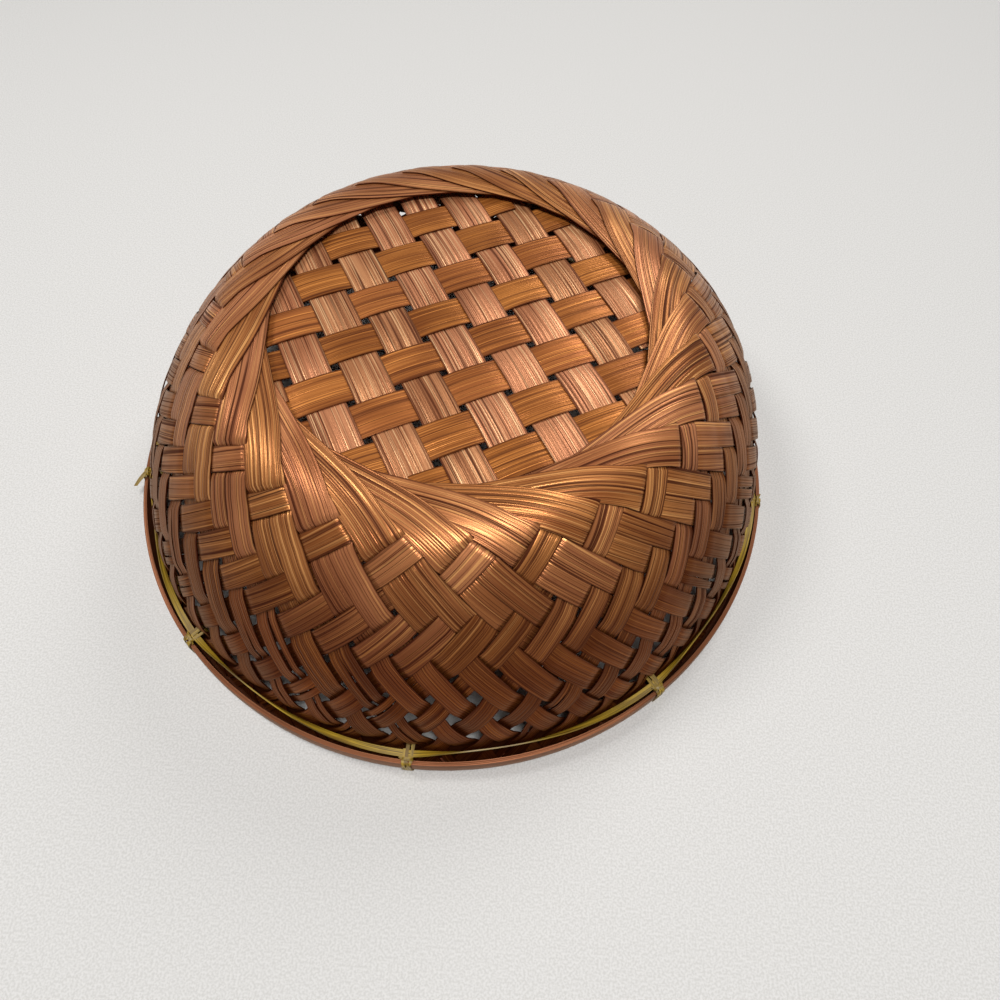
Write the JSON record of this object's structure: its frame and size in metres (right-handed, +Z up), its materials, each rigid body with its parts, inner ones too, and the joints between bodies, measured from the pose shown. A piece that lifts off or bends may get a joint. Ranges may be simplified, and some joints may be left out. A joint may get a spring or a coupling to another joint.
{
  "type": "bamboo basket",
  "caption": "Round woven bamboo basket resting on its hooped rim: plaited mat base, twisted ring of splints and an open slanted lattice wall tied between hoops.",
  "frame": {"origin": "centre of the rim on the surface that the basket rests on", "axes": "+Z up from the rim to the woven base, which is on top; +X to the picture's right, +Y away from its viewer"},
  "size_m": [0.2464, 0.2555, 0.0784],
  "materials": {
    "wall_bamboo": "split bamboo, varnished golden brown, fine ridges along the fibres, semi-gloss",
    "mat_rosy": "split bamboo, varnished rosy brown, coarse ridges along the fibres, semi-gloss",
    "mat_golden": "split bamboo, varnished golden brown, fine ridges along the fibres, semi-gloss",
    "hoop_bamboo": "thick split bamboo, pinkish brown skin, varnished, semi-gloss",
    "tie_strip": "thin olive-yellow cane strip, satin"
  },
  "bodies": {
    "root": {"wall_splint_01": "wall_bamboo", "wall_splint_02": "wall_bamboo", "wall_splint_03": "wall_bamboo", "wall_splint_04": "wall_bamboo", "wall_splint_05": "wall_bamboo", "wall_splint_06": "wall_bamboo", "wall_splint_07": "wall_bamboo", "wall_splint_08": "wall_bamboo", "wall_splint_09": "wall_bamboo", "wall_splint_10": "wall_bamboo", "wall_splint_11": "wall_bamboo", "wall_splint_12": "wall_bamboo", "wall_splint_13": "wall_bamboo", "wall_splint_14": "wall_bamboo", "wall_splint_15": "wall_bamboo", "wall_splint_16": "wall_bamboo", "wall_splint_17": "wall_bamboo", "wall_splint_18": "wall_bamboo", "wall_splint_19": "wall_bamboo", "wall_splint_20": "wall_bamboo", "wall_splint_21": "wall_bamboo", "wall_splint_22": "wall_bamboo", "wall_splint_23": "wall_bamboo", "wall_splint_24": "wall_bamboo", "wall_splint_25": "wall_bamboo", "wall_splint_26": "wall_bamboo", "mat_splint_a_01": "mat_rosy", "mat_splint_a_02": "mat_rosy", "mat_splint_a_03": "mat_rosy", "mat_splint_a_04": "mat_rosy", "mat_splint_a_05": "mat_rosy", "mat_splint_a_06": "mat_rosy", "mat_splint_a_07": "mat_rosy", "mat_splint_a_08": "mat_rosy", "mat_splint_a_09": "mat_rosy", "mat_splint_b_01": "mat_golden", "mat_splint_b_02": "mat_golden", "mat_splint_b_03": "mat_golden", "mat_splint_b_04": "mat_golden", "mat_splint_b_05": "mat_golden", "mat_splint_b_06": "mat_golden", "mat_splint_b_07": "mat_golden", "mat_splint_b_08": "mat_golden", "outer_hoop": "hoop_bamboo", "inner_hoop": "hoop_bamboo", "rim_tie_01": "tie_strip", "rim_tie_02": "tie_strip", "rim_tie_03": "tie_strip", "rim_tie_04": "tie_strip", "rim_tie_05": "tie_strip", "rim_tie_06": "tie_strip", "rim_tie_07": "tie_strip", "rim_tie_08": "tie_strip", "rim_tie_09": "tie_strip", "lashing_strip": "tie_strip"}
  },
  "joints": []
}
